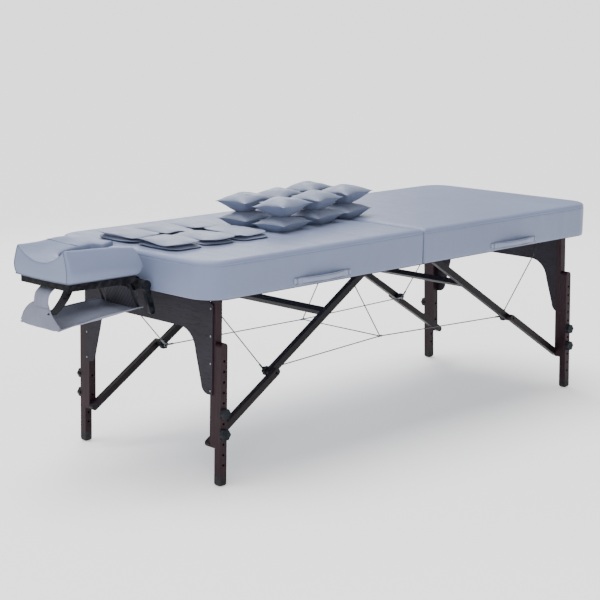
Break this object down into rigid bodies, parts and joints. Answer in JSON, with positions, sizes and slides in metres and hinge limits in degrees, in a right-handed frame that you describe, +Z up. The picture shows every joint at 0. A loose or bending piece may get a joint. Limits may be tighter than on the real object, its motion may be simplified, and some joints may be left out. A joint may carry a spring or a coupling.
{
  "type": "portable folding massage table",
  "caption": "Portable folding massage table: padded halves hinged in the middle, wooden height-adjustable legs with braces and cables, face cradle, arm sling and loose pads.",
  "frame": {"origin": "floor level, at the middle of the whole table's length and width", "axes": "+X from the head end with the face cradle to the foot end, +Y from the near long side to the far one, +Z up"},
  "size_m": [2.176, 0.796, 0.8076],
  "materials": {
    "upholstery": "soft satin artificial leather, blue grey",
    "foam": "open-cell foam",
    "plywood": "thin plywood, matt",
    "stained_wood": "dark red-brown stained hardwood, satin lacquer",
    "brace_wood": "near-black stained hardwood, satin lacquer",
    "panel": "charcoal lacquered plywood, satin",
    "webbing": "black woven nylon webbing",
    "black_steel": "black powder coat",
    "steel": "zinc-plated steel",
    "cable_steel": "twisted steel rope",
    "rubber": "black rubber",
    "knob_plastic": "blue-black moulded plastic",
    "lever_plastic": "blue-black moulded plastic",
    "cradle_plastic": "black moulded plastic",
    "cradle_metal": "satin aluminium rod",
    "pad_fabric": "thin soft artificial leather, pale blue grey",
    "sling_fabric": "woven grey polyester"
  },
  "bodies": {
    "head_half": {"head_cover": "upholstery", "head_foam": "foam", "head_deck": "plywood", "head_frame": "stained_wood", "head_handles": "upholstery", "head_brackets": "black_steel", "head_hinge_leaves": "steel", "side_cables": "cable_steel", "centre_cables": "cable_steel"},
    "centre_pins": {"hinge_pins": "steel"},
    "foot_half": {"foot_cover": "upholstery", "foot_foam": "foam", "foot_deck": "plywood", "foot_frame": "stained_wood", "foot_handles": "upholstery", "foot_brackets": "black_steel", "foot_hinge_leaves": "steel"},
    "cradle_base": {"cradle_rods": "cradle_metal", "cradle_yoke": "cradle_plastic"},
    "lever": {"cradle_lever": "lever_plastic"},
    "cradle": {"cradle_platform": "cradle_plastic", "arm_sling": "sling_fabric", "sling_straps": "webbing"},
    "cushion": {"face_cushion": "upholstery"},
    "flat_pads": {"flat_pads": "pad_fabric"},
    "pillow_pads": {"pillow_pads": "pad_fabric"},
    "head_leg_set": {"head_posts": "stained_wood", "head_panel": "panel", "head_panel_screws": "steel", "head_pivot_bolts": "black_steel"},
    "head_brace_frame": {"head_upper_braces": "brace_wood", "head_crossbar": "brace_wood"},
    "head_lower_brace_pair": {"head_lower_braces": "brace_wood"},
    "head_near_extension": {"head_near_extension": "stained_wood", "head_near_rubber_foot": "rubber"},
    "head_near_upper_knob": {"head_near_upper_knob": "knob_plastic"},
    "head_near_lower_knob": {"head_near_lower_knob": "knob_plastic"},
    "head_near_brace_knob": {"head_near_brace_knob": "knob_plastic"},
    "head_far_extension": {"head_far_extension": "stained_wood", "head_far_rubber_foot": "rubber"},
    "head_far_upper_knob": {"head_far_upper_knob": "knob_plastic"},
    "head_far_lower_knob": {"head_far_lower_knob": "knob_plastic"},
    "head_far_brace_knob": {"head_far_brace_knob": "knob_plastic"},
    "foot_leg_set": {"foot_posts": "stained_wood", "foot_panel": "panel", "foot_panel_screws": "steel", "foot_pivot_bolts": "black_steel"},
    "foot_brace_frame": {"foot_upper_braces": "brace_wood", "foot_crossbar": "brace_wood"},
    "foot_lower_brace_pair": {"foot_lower_braces": "brace_wood"},
    "foot_near_extension": {"foot_near_extension": "stained_wood", "foot_near_rubber_foot": "rubber"},
    "foot_near_upper_knob": {"foot_near_upper_knob": "knob_plastic"},
    "foot_near_lower_knob": {"foot_near_lower_knob": "knob_plastic"},
    "foot_near_brace_knob": {"foot_near_brace_knob": "knob_plastic"},
    "foot_far_extension": {"foot_far_extension": "stained_wood", "foot_far_rubber_foot": "rubber"},
    "foot_far_upper_knob": {"foot_far_upper_knob": "knob_plastic"},
    "foot_far_lower_knob": {"foot_far_lower_knob": "knob_plastic"},
    "foot_far_brace_knob": {"foot_far_brace_knob": "knob_plastic"}
  },
  "joints": [
    {"name": "fold_first_stage", "type": "hinge", "parent": "head_half", "child": "centre_pins", "pos_m": [0.161, 0, 0.572], "axis": [0, 1, 0], "range_deg": [0, 90], "deforming": ["side_cables", "centre_cables"]},
    {"name": "fold_second_stage", "type": "hinge", "parent": "centre_pins", "child": "foot_half", "pos_m": [0.161, 0, 0.572], "axis": [0, 1, 0], "range_deg": [0, 90]},
    {"name": "head_leg_fold", "type": "hinge", "parent": "head_half", "child": "head_leg_set", "pos_m": [-0.674, 0, 0.596], "axis": [0, -1, 0], "range_deg": [0, 91.5]},
    {"name": "head_upper_brace_swing", "type": "hinge", "parent": "head_half", "child": "head_brace_frame", "pos_m": [0.0785, 0, 0.614], "axis": [0, 1, 0], "range_deg": [0, 32.53]},
    {"name": "head_lower_brace_swing", "type": "hinge", "parent": "head_leg_set", "child": "head_lower_brace_pair", "pos_m": [-0.6863, 0, 0.12616], "axis": [0, -1, 0], "range_deg": [0, 52.67]},
    {"name": "head_near_height", "type": "slide", "parent": "head_leg_set", "child": "head_near_extension", "axis": [-0.0262, 0, -0.9997], "range_m": [-0.09525, 0.15875]},
    {"name": "head_near_upper_knob_turn", "type": "hinge", "parent": "head_near_extension", "child": "head_near_upper_knob", "pos_m": [-0.68373, -0.36, 0.22438], "axis": [0, -1, 0], "continuous": true},
    {"name": "head_near_lower_knob_turn", "type": "hinge", "parent": "head_near_extension", "child": "head_near_lower_knob", "pos_m": [-0.68539, -0.36, 0.1609], "axis": [0, -1, 0], "continuous": true},
    {"name": "head_near_brace_knob_turn", "type": "hinge", "parent": "head_brace_frame", "child": "head_near_brace_knob", "pos_m": [-0.42277, -0.25, 0.29426], "axis": [0, -1, 0], "continuous": true},
    {"name": "head_far_height", "type": "slide", "parent": "head_leg_set", "child": "head_far_extension", "axis": [-0.0262, 0, -0.9997], "range_m": [-0.09525, 0.15875]},
    {"name": "head_far_upper_knob_turn", "type": "hinge", "parent": "head_far_extension", "child": "head_far_upper_knob", "pos_m": [-0.68373, 0.36, 0.22438], "axis": [0, 1, 0], "continuous": true},
    {"name": "head_far_lower_knob_turn", "type": "hinge", "parent": "head_far_extension", "child": "head_far_lower_knob", "pos_m": [-0.68539, 0.36, 0.1609], "axis": [0, 1, 0], "continuous": true},
    {"name": "head_far_brace_knob_turn", "type": "hinge", "parent": "head_brace_frame", "child": "head_far_brace_knob", "pos_m": [-0.42277, 0.25, 0.29426], "axis": [0, 1, 0], "continuous": true},
    {"name": "foot_leg_fold", "type": "hinge", "parent": "foot_half", "child": "foot_leg_set", "pos_m": [0.996, 0, 0.596], "axis": [0, 1, 0], "range_deg": [0, 91.5]},
    {"name": "foot_upper_brace_swing", "type": "hinge", "parent": "foot_half", "child": "foot_brace_frame", "pos_m": [0.2435, 0, 0.614], "axis": [0, -1, 0], "range_deg": [0, 32.53]},
    {"name": "foot_lower_brace_swing", "type": "hinge", "parent": "foot_leg_set", "child": "foot_lower_brace_pair", "pos_m": [1.0083, 0, 0.12616], "axis": [0, 1, 0], "range_deg": [0, 52.67]},
    {"name": "foot_near_height", "type": "slide", "parent": "foot_leg_set", "child": "foot_near_extension", "axis": [0.0262, 0, -0.9997], "range_m": [-0.09525, 0.15875]},
    {"name": "foot_near_upper_knob_turn", "type": "hinge", "parent": "foot_near_extension", "child": "foot_near_upper_knob", "pos_m": [1.00573, -0.36, 0.22438], "axis": [0, -1, 0], "continuous": true},
    {"name": "foot_near_lower_knob_turn", "type": "hinge", "parent": "foot_near_extension", "child": "foot_near_lower_knob", "pos_m": [1.00739, -0.36, 0.1609], "axis": [0, -1, 0], "continuous": true},
    {"name": "foot_near_brace_knob_turn", "type": "hinge", "parent": "foot_brace_frame", "child": "foot_near_brace_knob", "pos_m": [0.74477, -0.25, 0.29426], "axis": [0, -1, 0], "continuous": true},
    {"name": "foot_far_height", "type": "slide", "parent": "foot_leg_set", "child": "foot_far_extension", "axis": [0.0262, 0, -0.9997], "range_m": [-0.09525, 0.15875]},
    {"name": "foot_far_upper_knob_turn", "type": "hinge", "parent": "foot_far_extension", "child": "foot_far_upper_knob", "pos_m": [1.00573, 0.36, 0.22438], "axis": [0, 1, 0], "continuous": true},
    {"name": "foot_far_lower_knob_turn", "type": "hinge", "parent": "foot_far_extension", "child": "foot_far_lower_knob", "pos_m": [1.00739, 0.36, 0.1609], "axis": [0, 1, 0], "continuous": true},
    {"name": "foot_far_brace_knob_turn", "type": "hinge", "parent": "foot_brace_frame", "child": "foot_far_brace_knob", "pos_m": [0.74477, 0.25, 0.29426], "axis": [0, 1, 0], "continuous": true},
    {"name": "cradle_pull_out", "type": "slide", "parent": "head_half", "child": "cradle_base", "axis": [-1, 0, 0], "range_m": [0, 0.1]},
    {"name": "cradle_tilt", "type": "hinge", "parent": "cradle_base", "child": "cradle", "pos_m": [-0.792, 0, 0.596], "axis": [0, 1, 0], "range_deg": [-30, 12]},
    {"name": "cam_lever", "type": "hinge", "parent": "cradle_base", "child": "lever", "pos_m": [-0.792, -0.124, 0.596], "axis": [0, 1, 0], "range_deg": [0, 90]},
    {"name": "cushion_lift_off", "type": "slide", "parent": "cradle", "child": "cushion", "axis": [0, 0, 1], "range_m": [0, 0.08]},
    {"name": "flat_pads_lift_off", "type": "slide", "parent": "head_half", "child": "flat_pads", "axis": [0, 0, 1], "range_m": [0, 0.15]},
    {"name": "pillow_pads_lift_off", "type": "slide", "parent": "head_half", "child": "pillow_pads", "axis": [0, 0, 1], "range_m": [0, 0.15]}
  ],
  "couplings": [
    {"joint": "head_leg_fold", "follows": "fold_first_stage", "ratio": 1.0167},
    {"joint": "head_upper_brace_swing", "follows": "fold_first_stage", "ratio": 0.36147},
    {"joint": "head_lower_brace_swing", "follows": "fold_first_stage", "ratio": 0.58518},
    {"joint": "foot_leg_fold", "follows": "fold_first_stage", "ratio": 1.0167},
    {"joint": "foot_upper_brace_swing", "follows": "fold_first_stage", "ratio": 0.36147},
    {"joint": "foot_lower_brace_swing", "follows": "fold_first_stage", "ratio": 0.58518}
  ]
}
